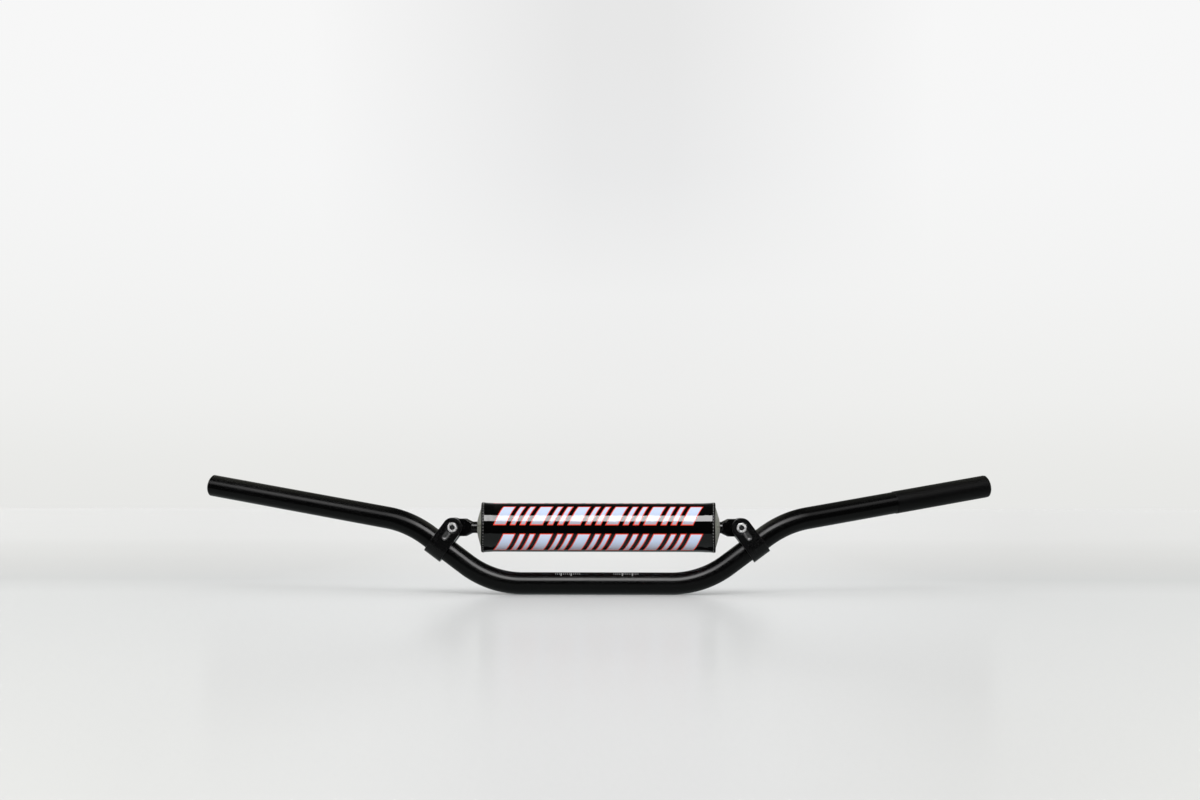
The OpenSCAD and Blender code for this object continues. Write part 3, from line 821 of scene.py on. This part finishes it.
class Nodes:
    """Builds the node tree of a material or world."""

    def __init__(self, owner, output="OutputMaterial"):
        owner.use_nodes = True
        self.owner, self.tree = owner, owner.node_tree
        self.tree.nodes.clear()
        self.output = self.tree.nodes.new("ShaderNode" + output)

    def add(self, kind, out=0, props=None, **inputs):
        """Adds a node; inputs go by name, or by index as i0, i1 and so on."""
        node = self.tree.nodes.new("ShaderNode" + kind)
        for key, value in (props or {}).items():
            setattr(node, key, value)
        for key, value in inputs.items():
            socket = node.inputs[int(key[1:]) if key[1:].isdigit() else key.replace("_", " ")]
            if isinstance(value, Value):
                self.tree.links.new(value.socket, socket)
            else:
                socket.default_value = rgba(value) if socket.type == "RGBA" else value
        if isinstance(out, tuple):
            return [Value(self, node.outputs[key]) for key in out]
        return Value(self, node.outputs[out])

    def math(self, operation, first, second=0.0, clamp=False):
        return self.add("Math", props={"operation": operation, "use_clamp": clamp},
                        i0=first, i1=second, i2=0.0)

    def mix(self, factor, first, second):
        return self.add("Mix", 2, {"data_type": "RGBA"}, i0=factor, i6=first, i7=second)

    def mix_value(self, factor, first, second):
        return self.add("Mix", 0, {"data_type": "FLOAT"}, i0=factor, i2=first, i3=second)

    def ramp(self, factor, stops, mode="LINEAR"):
        """A colour ramp; each stop is a position and a colour or grey level."""
        ramp = self.add("ValToRGB", i0=factor)
        bands = ramp.socket.node.color_ramp
        bands.interpolation = mode
        while len(bands.elements) > 1:
            bands.elements.remove(bands.elements[0])
        bands.elements[0].position, bands.elements[0].color = stops[0][0], rgba(stops[0][1])
        for place, colour in stops[1:]:
            bands.elements.new(place).color = rgba(colour)
        return ramp

    def noise(self, scale, detail=4.0, roughness=0.55, vector=None):
        return self.add("TexNoise", Vector=vector or self.place, Scale=scale, Detail=detail,
                        Roughness=roughness)

    def span(self, value, start, end, to=(0.0, 1.0)):
        """Maps the range from start to end onto another and clamps it."""
        return self.add("MapRange", props={"clamp": True}, Value=value,
                        From_Min=start, From_Max=end, To_Min=to[0], To_Max=to[1])

    def split(self, vector):
        return self.add("SeparateXYZ", (0, 1, 2), i0=vector)

    def bump(self, height, strength, distance, **more):
        return self.add("Bump", Height=height, Strength=strength, Distance=distance, **more)

    def principled(self, **inputs):
        return self.finish(self.add("BsdfPrincipled", **inputs))

    def finish(self, shader):
        self.tree.links.new(shader.socket, self.output.inputs[0])
        return self.owner


def new_material(name):
    nodes = Nodes(bpy.data.materials.new(name))
    nodes.place = nodes.add("TexCoord", "Object")
    return nodes


# ------------------------------------------------------------------ metal
CLAMP_REACH = 21.8 * mm


def setting_scale(nodes, x, y, z):
    """Two scales of short ticks on the upper front of the tube, either side of the middle."""
    aside = abs(x)
    inside = (aside > 0.0165) * (aside < 0.0415)
    tick = abs((aside / 0.002).math("FRACT") - 0.5) < 0.12
    long_tick = abs((aside / 0.010).math("FRACT") - 0.55) < 0.05
    angle = z.math("ARCTAN2", y * -1.0)           # 0 at the front, a quarter turn on top
    low = (angle > 0.93) * (angle < 1.25)
    high = (angle > 0.78) * (angle < 1.25)
    line = abs(angle - 1.27) < 0.018
    mark = (tick * low).math("MAXIMUM", long_tick * high).math("MAXIMUM", line) * inside
    on_outside = (y * y + z * z) > 0.0109 ** 2
    near_tube = (y * y + z * z) < 0.0115 ** 2
    mark = mark * near_tube * on_outside
    return mark * nodes.span(nodes.noise(scale=700, detail=2), 0.35, 0.6, to=(0.45, 0.9))


def clamp_groove(nodes, x, y, z):
    """The scooped grooves in the clamps' ears and their cutter lines; both clamps mirror."""
    out, up = abs(x) - BOLT_X, z - BOLT_Z
    # the ears point inwards and up, square to the leg; the bolt is at CLAMP_REACH along them
    slope_sin, slope_cos = math.sin(LOWER_BEND), math.cos(LOWER_BEND)
    along = CLAMP_REACH + (out * -slope_sin + up * slope_cos)
    across = out * slope_cos + up * slope_sin
    inside = (((abs(across) < 0.0031) * (along > 0.0064))
              * ((along < 0.0172) * ((y > -0.01403) * (y < -0.0119))))
    stretched = nodes.add("CombineXYZ", X=along * 900.0, Y=across * 150.0)
    lines = nodes.noise(scale=1.0, detail=2, roughness=0.5, vector=stretched)
    return inside, nodes.span(lines, 0.3, 0.7)


def black_finish(name, base, roughness, specular, bump, bevel=0.0, scales=False, groove=False):
    nodes = new_material(name)
    broad = nodes.noise(scale=22, detail=3)
    fine = nodes.noise(scale=900, detail=2, roughness=0.6)
    specks = nodes.span(nodes.noise(scale=1900, detail=1), 0.70, 0.78)
    smear = nodes.span(nodes.noise(scale=60, detail=6, roughness=0.7), 0.52, 0.75)
    colour = nodes.mix(broad, base * 0.8, (base * 1.25, base * 1.25, base * 1.32))
    colour = nodes.mix(specks * 0.015, colour, 0.14)
    rough = nodes.span(broad, 0.3, 0.7, to=(roughness - 0.03, roughness + 0.03)) + smear * 0.035
    rough = rough + fine * 0.03
    if scales:
        mark = setting_scale(nodes, *nodes.split(nodes.place))
        colour = nodes.mix(mark, colour, 0.42)
        rough = rough + mark * 0.25
    height = fine + nodes.noise(scale=160, detail=2) * 0.5
    bevelled = {}
    if bevel:
        # edges are softened, and painted paler along them as a highlight, broken into patches
        soft = nodes.add("Bevel", props={"samples": 8}, Radius=bevel)
        bevelled["Normal"] = soft
        same = nodes.add("VectorMath", 1, {"operation": "DOT_PRODUCT"},
                         i0=soft, i1=nodes.add("NewGeometry", "Normal"))
        edge_highlight_patches = nodes.span(nodes.noise(scale=300, detail=3), 0.3, 0.65, to=(0.35, 1.0))
        colour = nodes.mix(nodes.span(same, 0.985, 0.86) * edge_highlight_patches, colour, 0.030)
    if groove:
        inside, lines = clamp_groove(nodes, *nodes.split(nodes.place))
        # the groove is paler and glossier: a machined finish, and partly a painted highlight
        colour = nodes.mix(inside * (0.55 + lines * 0.45), colour, 0.052)
        specular = nodes.mix_value(inside, specular, 0.9)
        rough = nodes.mix_value(inside, rough, 0.27)
    return nodes.principled(Base_Color=colour, Roughness=rough, Specular_IOR_Level=specular,
                            Normal=nodes.bump(height, strength=bump, distance=0.0004, **bevelled))


def bolt_steel(name):
    """Turned steel: fine rings round the bolt's axis and painted shade darkening the socket in its front."""
    base, ring_pitch, socket_r = 0.66, 0.00022, 0.00297
    front = bolt_low.y
    nodes = new_material(name)
    x, y, z = nodes.split(nodes.place)
    out, up = abs(x) - BOLT_X, z - BOLT_Z
    radius = (out * out + up * up).math("SQRT")
    rings = (radius * (2 * pi / ring_pitch)).math("SINE")
    height = rings * 0.35 + nodes.noise(scale=420, detail=3)
    normal = nodes.bump(height, strength=0.10, distance=0.0003,
                        Normal=nodes.add("Bevel", props={"samples": 6}, Radius=0.0004))
    stain = nodes.span(nodes.noise(scale=260, detail=4), 0.45, 0.7)
    colour = nodes.mix(stain, base, (base * 0.86, base * 0.85, base * 0.82))
    # painted shade: inside the socket the colour is dark and the steel less metallic
    socket = (radius < socket_r) * ((y > front + 0.00015) * (y < front + 0.0034))
    colour = nodes.mix(socket, colour, nodes.mix(nodes.span(radius, 0.0, 0.0022), 0.06, 0.012))
    rough = nodes.span(nodes.noise(scale=700, detail=2), 0.3, 0.7, to=(0.40, 0.54))
    return nodes.principled(Base_Color=colour, Roughness=rough,
                            Metallic=0.75 - socket * 0.6, Normal=normal)


bar_black = black_finish("bar black anodised", base=0.0014, roughness=0.20, specular=0.205,
                         bump=0.035, scales=True)
knurl_black = black_finish("bar knurled grip", base=0.0024, roughness=0.34, specular=0.14,
                           bump=0.08)
clamp_black = black_finish("clamp satin black", base=0.0022, roughness=0.26, specular=0.27,
                           bump=0.05, bevel=0.0007, groove=True)
cross_black = black_finish("crossbar black anodised", base=0.0022, roughness=0.16,
                           specular=0.33, bump=0.03, bevel=0.0008)
bolt_zinc = bolt_steel("bolt zinc steel")


# ------------------------------------------------------------------ vinyl, cloth, thread and foam
def slanted_bars(nodes, broad, colour):
    """Rows of red-edged slanted bars, one wide and two thin in turn; lengths in mm."""
    first_row, row_step, row_arc = 147.8, 72.0, 30.66       # degrees, degrees, mm
    slant, row_half, border = 0.46, 11.2, 0.95
    period, wide, thin, gap, line = 37.3, 13.1, 6.1, 3.95, 1.0
    whole = 5 * period + wide
    u, v, _ = nodes.split(nodes.add("TexCoord", "UV"))
    along = (u - 0.5) * 240.0
    row = (v * 360.0 - first_row) / row_step
    down = ((row + 0.5).math("FRACT") - 0.5) * row_arc
    which = (row + 0.5).math("FLOOR")
    not_back = (which < 2.5) * (which > -1.5)     # the row at the back is left plain
    from_start = (along + down * slant) - -whole / 2
    within = (from_start > 0.0) * (from_start < whole)
    phase = (from_start / period).math("FRACT")
    second, third = wide + gap, wide + 2 * gap + thin
    edge_stops, fill_stops = [], [(0.0, 0)]
    for start, end in ((0, wide), (second, second + thin), (third, third + thin)):
        edge_stops += [(start / period, 1), (end / period, 0)]
        fill_stops += [((start + line) / period, 1), ((end - line) / period, 0)]
    edge = nodes.ramp(phase, edge_stops, "CONSTANT")
    fill = nodes.ramp(phase, fill_stops, "CONSTANT")
    off_row = abs(down)
    in_row = (off_row < row_half) * (within * not_back)
    in_fill = off_row < row_half - border
    tone = nodes.ramp(down / 23.8 + 0.5, [
        (0.05, (0.66, 0.73, 0.90)), (0.40, (0.57, 0.68, 0.88)),
        (0.66, (0.52, 0.56, 0.68)), (0.95, (0.36, 0.33, 0.38))])
    tone = nodes.mix(nodes.noise(scale=140, detail=3) * 0.14, tone, (0.80, 0.82, 0.92))
    red = nodes.mix(broad, (0.78, 0.045, 0.022), (0.88, 0.085, 0.045))
    return nodes.mix(fill * in_row * in_fill, nodes.mix(edge * in_row, colour, red), tone)


def vinyl(name, base, roughness, specular, grain=0.0, printed=False):
    nodes = new_material(name)
    broad = nodes.noise(scale=30, detail=3)
    fine = nodes.noise(scale=2200, detail=2)
    smear = nodes.span(nodes.noise(scale=90, detail=5, roughness=0.7), 0.55, 0.8)
    colour = nodes.mix(broad, base * 0.8, base * 1.25)
    rough = nodes.span(broad, 0.3, 0.7, to=(roughness, roughness + 0.02)) + smear * 0.05
    if printed:
        colour = slanted_bars(nodes, broad, colour)
    height = fine * 0.4 + nodes.noise(scale=420, detail=2) * (0.6 + grain)
    normal = nodes.bump(height, strength=0.02 + 0.25 * grain, distance=0.0003)
    return nodes.principled(Base_Color=colour, Roughness=rough, Specular_IOR_Level=specular,
                            Normal=normal)


def woven(name, dark, light):
    """Woven cloth; its UV map covers 50 mm and its weave repeats every 0.75 mm."""
    turns = 2 * pi * 50 / 0.75
    nodes = new_material(name)
    u, v, _ = nodes.split(nodes.add("TexCoord", "UV"))
    check = (u * turns).math("SINE") * (v * turns).math("SINE")
    soft = nodes.noise(scale=55, detail=4, roughness=0.6)
    fuzz = nodes.noise(scale=1500, detail=3, roughness=0.7)
    shade = nodes.span(soft, 0.3, 0.7, to=(0.25, 0.85)) + check * 0.16
    shade = nodes.math("ADD", shade, (fuzz - 0.5) * 0.35, clamp=True)
    return nodes.principled(Base_Color=nodes.mix(shade, dark, light), Roughness=0.85,
                            Specular_IOR_Level=0.2, Sheen_Weight=0.35, Sheen_Roughness=0.4,
                            Normal=nodes.bump(check * 0.5 + fuzz, strength=0.5, distance=0.0003))


def mottled(name, dark, light, scale, roughness, bump, specular, sheen=0.0, cells=False):
    nodes = new_material(name)
    height = blotches = nodes.noise(scale=scale, detail=4, roughness=0.65)
    colour = nodes.mix(nodes.span(blotches, 0.3, 0.7), dark, light)
    if cells:
        cell = nodes.add("TexVoronoi", Vector=nodes.place, Scale=scale * 1.6)
        height = blotches + cell * 1.4
        # painted shade: the foam's pits are darker
        pit_shade = tuple(part * 0.35 for part in dark)
        colour = nodes.mix(nodes.span(cell, 0.0, 0.5), pit_shade, colour)
    rough = nodes.span(blotches, 0.3, 0.7, to=(roughness - 0.05, roughness + 0.05))
    return nodes.principled(Base_Color=colour, Roughness=rough, Specular_IOR_Level=specular,
                            Sheen_Weight=sheen,
                            Normal=nodes.bump(height, strength=bump, distance=0.0005))


cover_vinyl = vinyl("pad cover printed vinyl", base=0.0014, roughness=0.035, specular=0.5,
                    printed=True)
rim_vinyl = vinyl("pad rim vinyl", base=0.0022, roughness=0.42, specular=0.13, grain=0.4)
flap_vinyl = vinyl("pad flap vinyl", base=0.004, roughness=0.17, specular=0.42, grain=0.6)
panel_cloth = woven("pad end cloth", dark=(0.084, 0.088, 0.062), light=(0.176, 0.182, 0.139))
seam_thread = mottled("seam thread", dark=(0.18, 0.18, 0.18), light=(0.36, 0.36, 0.35),
                      scale=1600, roughness=0.45, bump=0.10, specular=0.5)
pad_foam = mottled("pad foam", dark=(0.09, 0.09, 0.085), light=(0.17, 0.17, 0.16),
                   scale=900, roughness=0.9, bump=0.6, specular=0.15, cells=True)
hook_and_loop = mottled("hook and loop", dark=(0.010, 0.010, 0.011), light=(0.035, 0.035, 0.037),
                        scale=1100, roughness=0.8, bump=0.8, specular=0.2, sheen=0.3)


def paint(material, *objects):
    for ob in objects:
        ob.data.materials.clear()
        ob.data.materials.append(material)


paint(bar_black, cad["bar_tube"], bar)
paint(clamp_black, cad["clamp_left"], cad["clamp_right"])
paint(bolt_zinc, cad["clamp_bolt_left"], cad["clamp_bolt_right"],
      cad["clamp_nut_left"], cad["clamp_nut_right"])
paint(cross_black, cad["crossbar_tube"], cad["crossbar_end_left"], cad["crossbar_end_right"])
paint(cover_vinyl, cover)
paint(rim_vinyl, rim_left, rim_right)
paint(seam_thread, seam_left, seam_right, flap_thread)
paint(panel_cloth, panel_left, panel_right)
paint(pad_foam, foam)
paint(flap_vinyl, flap)
paint(hook_and_loop, loop, hook, pegs)
paint(knurl_black, knurl)


# ------------------------------------------------------------------ floor
def floor_material():
    nodes = new_material("studio floor")
    x, y, _ = nodes.split(nodes.place)
    # painted light and shade: the floor is darkest a little behind the bar and grows paler far off
    tone = nodes.ramp(nodes.span(y, -1.0, 7.0), [
        (0.0, (0.800, 0.803, 0.793)), (0.09, (0.792, 0.801, 0.794)),
        (0.165, (0.788, 0.798, 0.791)), (0.20, (0.815, 0.818, 0.805)),
        (0.27, (0.845, 0.846, 0.828)), (0.45, (0.862, 0.862, 0.848)),
        (0.60, (0.875, 0.876, 0.862)), (1.0, (0.880, 0.880, 0.868))])
    # painted shade: the sides are a little darker, most of all behind the bar
    aside = nodes.span(abs(x), 0.08, 0.42)
    behind_bar = nodes.span(y, 0.02, 0.30) * nodes.span(y, 2.4, 0.62)
    painted_shade = aside * (0.030 + behind_bar * 0.105)
    # painted shade: the view's corners are a little darker than its middle
    across = x / (y + 1.5).math("MAXIMUM", 0.3)
    corner = (nodes.span(abs(across), 0.13, 0.27) * 0.055
              + nodes.span(across, 0.15, 0.27) * 0.030)
    painted_shade = painted_shade + corner * nodes.span(y, 40.0, 2.5, to=(0.6, 1.0))
    cloud = nodes.noise(scale=2, detail=2)
    tone = nodes.mix(painted_shade + cloud * 0.02, tone, 0.0)
    # sheen and the painted light and shade belong to the view from in front; from elsewhere the floor is plain
    _, to_viewer, _ = nodes.split(nodes.add("NewGeometry", "Incoming"))
    facing = nodes.span(to_viewer * -1.0, 0.80, 0.90)
    tone = nodes.mix(facing, nodes.mix(cloud * 0.04, (0.845, 0.849, 0.840), 0.76), tone)
    diffuse = nodes.add("BsdfDiffuse", Color=tone)
    gloss_rough = nodes.span(nodes.noise(scale=5, detail=2), 0.3, 0.7, to=(0.17, 0.21))
    gloss = nodes.add("BsdfGlossy", Color=(0.93, 0.94, 0.94), Roughness=gloss_rough)
    lit = nodes.add("MixShader", i0=facing * 0.26, i1=diffuse, i2=gloss)
    # painted reflection: to glossy rays the floor glows, bright near and behind the bar and dark in front, as the
    # parts mirror it
    near = nodes.span(y, -0.131, -0.128, to=(0.0, 0.34))
    behind = nodes.span(y, 0.03, 0.5, to=(0.0, 0.45))
    painted_reflection = nodes.add("Emission", Color=(0.93, 1.0, 0.98), Strength=near + behind)
    is_glossy = nodes.add("LightPath", "Is Glossy Ray")
    material = nodes.finish(nodes.add("MixShader", i0=is_glossy, i1=lit, i2=painted_reflection))
    material.cycles.emission_sampling = "NONE"
    return material


def studio_floor():
    """A disc at the tube's underside, in three rings."""
    sides, radii = 64, (1.0, 4.0, 30.0)
    vertices = [(0, 0, FLOOR_Z)]
    for radius in radii:
        vertices += [(radius * math.cos(2 * pi * k / sides), radius * math.sin(2 * pi * k / sides),
                      FLOOR_Z) for k in range(sides)]
    faces = [(0, 1 + k, 1 + (k + 1) % sides) for k in range(sides)]
    for base in (1, 1 + sides):
        faces += [(base + k, base + sides + k, base + sides + (k + 1) % sides,
                   base + (k + 1) % sides) for k in range(sides)]
    floor = add_mesh("studio_floor", vertices, faces, sharp=None)
    paint(floor_material(), floor)


# ------------------------------------------------------------------ softbox
def softbox_material():
    nodes = new_material("softbox")
    strength = 12.5 / 0.42                        # gives 12.5 where the fall-off below is 0.42
    x, y, _ = nodes.split(nodes.place)
    level = nodes.ramp(nodes.span(x, -1.05, 1.25), [
        (0.0, 0.0), (0.10, 0.20), (0.20, 0.34), (0.33, 0.45), (0.44, 1.0), (0.60, 1.0),
        (0.70, 0.62), (0.80, 0.14), (1.0, 0.0)])
    # its strength also follows the place along the bar it is seen from
    view_x, view_y, _ = nodes.split(nodes.add("NewGeometry", "Incoming"))
    seen_from = x + (view_x / view_y.math("MAXIMUM", 0.05)) * (y * -1.0)
    fall = nodes.ramp(nodes.span(seen_from, -0.5, 0.5), [
        (0.0, 0.62), (0.15, 0.60), (0.22, 0.46), (0.28, 0.28), (0.31, 0.29), (0.335, 0.42),
        (0.672, 0.42), (0.69, 0.22), (0.71, 0.075), (0.74, 0.10), (0.80, 0.16), (0.90, 0.24),
        (1.0, 0.3)])
    emission = nodes.add("Emission", Color=(1.0, 0.99, 0.99), Strength=level * fall * strength)
    material = nodes.finish(emission)
    material.cycles.emission_sampling = "NONE"
    return material


def softbox():
    """The wide soft light in front and above, seen only as a reflection."""
    elevation, distance, width = radians(43.5), 0.80, 2.3
    height = 2 * distance * math.tan(radians(13.6))
    centre = Vector((0.10, -distance * math.cos(elevation),
                     PAD_Z + distance * math.sin(elevation)))
    up = Vector((0, math.sin(elevation), math.cos(elevation)))
    right = Vector((1, 0, 0))
    vertices = [tuple(centre + right * (width / 2) * k + up * (height / 2) * side)
                for k in (-1, 0, 1) for side in (-1, 1)]
    card = add_mesh("studio_softbox", vertices, [(0, 2, 3, 1), (2, 4, 5, 3)], sharp=None)
    paint(softbox_material(), card)
    for rays in ("camera", "diffuse", "shadow", "transmission", "volume_scatter"):
        setattr(card, "visible_" + rays, False)


# ------------------------------------------------------------------ world
def mirrored_room(nodes, x, y, z):
    """What mirrors see: a mostly dark room, paler behind and at the sides."""
    over_top = z.math("ARCTAN2", y * -1.0)        # from the front through overhead to the back
    room = nodes.ramp(nodes.span(over_top, 0.0, pi), [
        (0.0, 0.004), (0.34, 0.008), (0.40, 0.018), (0.62, 0.020), (0.76, 0.045),
        (0.83, 0.24), (0.90, 0.68), (1.0, 0.85)])
    side = nodes.span(abs(x), 0.06, 0.42) * nodes.span(y, -0.30, 0.30) * nodes.span(z, 0.02, 0.25)
    room = nodes.add("VectorMath", props={"operation": "ADD"},
                     i0=room, i1=nodes.mix(side, 0.0, (0.62, 0.62, 0.52)))
    aside = nodes.span(abs(x), 0.75, 0.97)
    band = nodes.span(z, 0.30, 0.42) * nodes.span(z, 0.88, 0.75)
    room = nodes.mix(aside, room, nodes.mix(band, 0.16, 1.3))
    # a second light towards -X, above
    window = ((nodes.span(x, -0.56, -0.66) * nodes.span(x, -0.93, -0.86))
              * (nodes.span(z, 0.36, 0.44) * nodes.span(z, 0.80, 0.72)))
    return nodes.mix(window, room, 6.0)


def studio_world():
    """Even light for matt surfaces, a pale wall for the camera and a dark room in mirrors."""
    world = bpy.data.worlds.new("studio")
    scene.world = world
    nodes = Nodes(world, "OutputWorld")
    x, y, z = nodes.split(nodes.add("TexCoord", "Generated"))
    # painted light and shade: the wall is darkest just above the floor line; towards the top it darkens again
    # above the middle and grows paler at the sides
    wall_middle = nodes.ramp(nodes.span(z, -0.01, 0.30), [
        (0.0, (0.800, 0.802, 0.790)), (0.13, (0.815, 0.817, 0.806)),
        (0.25, (0.845, 0.846, 0.838)), (0.48, (0.865, 0.867, 0.865)),
        (0.74, (0.815, 0.817, 0.820)), (1.0, 0.80)])
    wall_side = nodes.ramp(nodes.span(z, -0.01, 0.30), [
        (0.0, (0.800, 0.802, 0.785)), (0.13, (0.825, 0.827, 0.810)),
        (0.25, (0.860, 0.862, 0.850)), (0.48, (0.895, 0.897, 0.892)),
        (0.74, (0.920, 0.922, 0.922)), (1.0, 0.93)])
    wall = nodes.mix(nodes.span(abs(x), 0.03, 0.20), wall_middle, wall_side)
    # the even light is stronger from the front and above
    even = 0.52 + 0.50 * (y * -0.55 + z * 0.83).math("MAXIMUM", 0.0)
    even_colour = nodes.add("CombineXYZ", X=even, Y=even, Z=even * 1.01)
    is_glossy, is_camera = nodes.add("LightPath", ("Is Glossy Ray", "Is Camera Ray"))
    colour = nodes.mix(is_glossy, even_colour, mirrored_room(nodes, x, y, z))
    colour = nodes.mix(is_camera, colour, wall)
    nodes.finish(nodes.add("Background", Color=colour, Strength=1.0))
    world.cycles.sampling_method = "NONE"


# ------------------------------------------------------------------ sun and camera
def key_light():
    sun = bpy.data.lights.new("studio_key", "SUN")
    sun.energy = 1.0
    sun.angle = radians(34)
    key = bpy.data.objects.new("studio_key", sun)
    scene.collection.objects.link(key)
    key.location = (0.15, -1, 1)
    key.rotation_euler = Vector((0.15, -1.0, 0.95)).to_track_quat("Z", "Y").to_euler()
    key.visible_glossy = False


def camera():
    """In front of the bar, looking slightly upwards."""
    pitch, yaw, roll = radians(4.0), radians(0.864), radians(0.077)
    target, distance = Vector((2.914 * mm, 0, 183.76 * mm)), 1.5
    turn = Matrix.Rotation(yaw, 3, "Z")
    forward = turn @ Vector((0, math.cos(pitch), math.sin(pitch)))
    right = turn @ Vector((1, 0, 0))
    up = turn @ Vector((0, -math.sin(pitch), math.cos(pitch)))
    right, up = (right * math.cos(roll) + up * math.sin(roll),
                 up * math.cos(roll) - right * math.sin(roll))
    lens = bpy.data.cameras.new("camera")
    lens.sensor_width = 36
    lens.lens = 44.64
    lens.clip_start, lens.clip_end = 0.05, 100
    ob = bpy.data.objects.new("camera", lens)
    scene.collection.objects.link(ob)
    turned = Matrix((right, up, -forward)).transposed().to_4x4()
    ob.matrix_world = Matrix.Translation(target - forward * distance) @ turned
    scene.camera = ob


studio_floor()
softbox()
studio_world()
key_light()
scene.view_settings.view_transform = "Standard"
scene.view_settings.look = "None"
scene.view_settings.exposure = 0
scene.view_settings.gamma = 1
camera()
